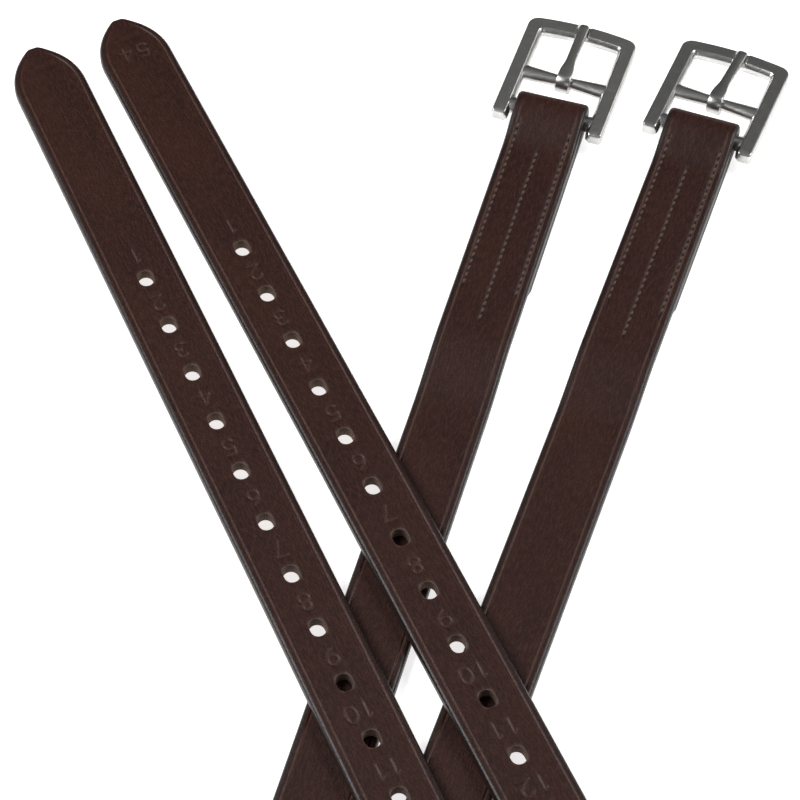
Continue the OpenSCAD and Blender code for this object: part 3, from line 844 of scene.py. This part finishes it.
def steel_finish(name, brightness):
    """Polished stainless steel with faint polishing lines, a few fine scratches and slight dulling."""
    material, shader, wire = new_finish(name, Metallic=1.0)
    place = wire.node("ShaderNodeTexCoord", None, None, 3)
    lines = place.node("ShaderNodeTexNoise", None, {
        "Vector": place.node("ShaderNodeMapping", None, {"Vector": place, "Scale": (260, 2600, 900)}),
        "Scale": 1.0, "Detail": 4.0, "Roughness": 0.7})
    dull = place.node("ShaderNodeTexNoise", None, {"Vector": place, "Scale": 210.0, "Detail": 3.0})
    scratch = place.node("ShaderNodeTexVoronoi", {"feature": "DISTANCE_TO_EDGE"}, {
        "Vector": place.node("ShaderNodeMapping", None, {"Vector": place, "Rotation": (0, 0, 0.6),
                                                         "Scale": (90, 700, 300)}), "Scale": 1.0})
    fine = 1 - scratch.node("ShaderNodeMapRange", None, {"Value": scratch, "From Min": 0.0, "From Max": 0.05})
    tone = tuple(brightness * c for c in (1.0, 0.995, 0.975))
    worn = tuple(brightness * 0.74 * c for c in (1.0, 0.985, 0.95))
    feed(shader, "Base Color", blended((dull - 0.35) * 1.8, tone, worn))
    feed(shader, "Roughness", 0.20 + 0.10 * lines + 0.10 * dull + 0.08 * fine)
    bump = lines.node("ShaderNodeBump", None, {"Strength": 0.25, "Distance": 0.00003,
                                               "Height": lines * 0.6 - fine * 0.5 + dull})
    feed(shader, "Normal", bump)
    return material


steel = steel_finish("polished_stainless_steel", 0.66)
for hand in LEATHERS:
    shells = [frame_ring(hand), cross_bar(0.0, END_BAR_R, BAR_FLARE, END_FLARE_L),
              cross_bar(TONGUE_AT, TONGUE_BAR_R, BAR_FLARE, TONGUE_FLARE_L)]
    parts = [new_piece(f"{hand}_shell_{k}", in_buckle(hand, p), quads, caps)
             for k, (p, quads, caps) in enumerate(shells)]
    buckle = parts[0]
    buckle.name = hand + "_buckle_casting"
    for bar in parts[1:]:
        union = buckle.modifiers.new("union", "BOOLEAN")
        union.operation, union.solver, union.object = "UNION", "EXACT", bar
    graph = bpy.context.evaluated_depsgraph_get()
    cast = bpy.data.meshes.new_from_object(buckle.evaluated_get(graph))
    buckle.modifiers.clear()
    buckle.data = cast
    cast.name = hand + "_buckle_casting"
    for bar in parts[1:]:
        bpy.data.objects.remove(bar)
    cast.polygons.foreach_set("use_smooth", np.ones(len(cast.polygons), bool))
    cast.set_sharp_from_angle(angle=math.radians(32))
    cast.materials.clear()
    cast.materials.append(steel)
    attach(buckle, hand + "_buckle")
    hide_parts(hand + "_buckle_frame")

# ---- Tongues -------------------------------------------------------------------------
# Each tongue is a steel strip bent round the middle bar into an eye, with shoulders that
# narrow to a flat prong.  Its rounded tip rests in the notch of the top bar.

EYE_R, EYE_BORE, EYE_W = 4.1 * MM, 2.4 * MM, 5.2 * MM


def tongue_piece(hand):
    """A flat oval section carried round the eye from under the prong, over the bar and out along the prong.
    Its half width eases from the eye's to the prong's and closes as a half circle at the tip."""
    eye_mid, eye_t = (EYE_R + EYE_BORE) / 2, EYE_R - EYE_BORE
    a = np.radians(np.linspace(-42, -270, 46))
    ring = np.stack([eye_mid * np.cos(a), eye_mid * np.sin(a)], 1)
    ring_up = np.stack([np.cos(a), np.sin(a)], 1)
    tip = PRONG_L - PRONG_W / 2
    round_end = tip + PRONG_W / 2 * np.sin(np.radians(np.linspace(0, 90, 9)))
    y = np.concatenate([np.linspace(0, tip, 26)[1:], round_end[1:]])
    ease_t = eased(y / (4 * MM))
    t_prong = eye_t + (PRONG_T - eye_t) * ease_t
    prong = np.stack([y, EYE_R - t_prong / 2], 1)
    line = np.concatenate([ring, prong])
    up = np.concatenate([ring_up, np.tile([0.0, 1.0], (len(y), 1))])
    thick = np.concatenate([np.full(len(a), eye_t), t_prong])
    reach = np.concatenate([np.full(len(a), -1.0), y])
    wide = EYE_W / 2 + (PRONG_W - EYE_W) / 2 * eased((reach - 1.5 * MM) / (6.5 * MM))
    close = np.sqrt(np.clip(1 - np.clip((reach - tip) / (PRONG_W / 2), 0, 1) ** 2, 0.0025, 1))
    wide = wide * close
    thick = thick * (0.45 + 0.55 * close)
    line[:, 1] -= np.where(reach > tip, (1 - close) * 0.35 * MM, 0)
    corner = 0.42 * MM
    angle = np.radians(np.arange(0, 360, 15))
    cx, cz = np.cos(angle), np.sin(angle)
    flat_x, flat_z = np.sign(np.round(cx, 9)), np.sign(np.round(cz, 9))
    side = (wide[:, None] - corner) * flat_x + corner * cx
    side = np.where(np.abs(flat_x) > 0, side, 0)
    side = np.where(wide[:, None] < corner, wide[:, None] * cx, side)
    rise = (thick[:, None] / 2 - corner) * flat_z + corner * cz
    slant = math.radians(BUCKLES[hand]["slant"])
    y3 = line[:, 0][:, None] + rise * up[:, 0][:, None]
    z3 = line[:, 1][:, None] + rise * up[:, 1][:, None]
    leaning = slant * eased((line[:, 0][:, None] + 1 * MM) / (5 * MM))
    turned_x = side * np.cos(leaning) + y3 * np.sin(leaning)
    turned_y = -side * np.sin(leaning) + y3 * np.cos(leaning) + TONGUE_AT
    points = np.stack([turned_x, turned_y, z3], -1)
    n, m = side.shape
    index = np.arange(n * m).reshape(n, m)
    p, q = index[:-1], index[1:]
    quads = np.stack([p, np.roll(p, -1, 1), np.roll(q, -1, 1), q], -1).reshape(-1, 4)
    caps = [index[0][::-1].tolist(), index[-1].tolist()]
    return new_piece(hand + "_tongue", in_buckle(hand, points.reshape(-1, 3)), quads, caps)


tongue_steel = steel_finish("polished_tongue_steel", 0.60)
for hand in LEATHERS:
    tongue = tongue_piece(hand)
    tongue.data.materials.append(tongue_steel)
    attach(tongue, hand + "_tongue")
    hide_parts(hand + "_buckle_tongue")
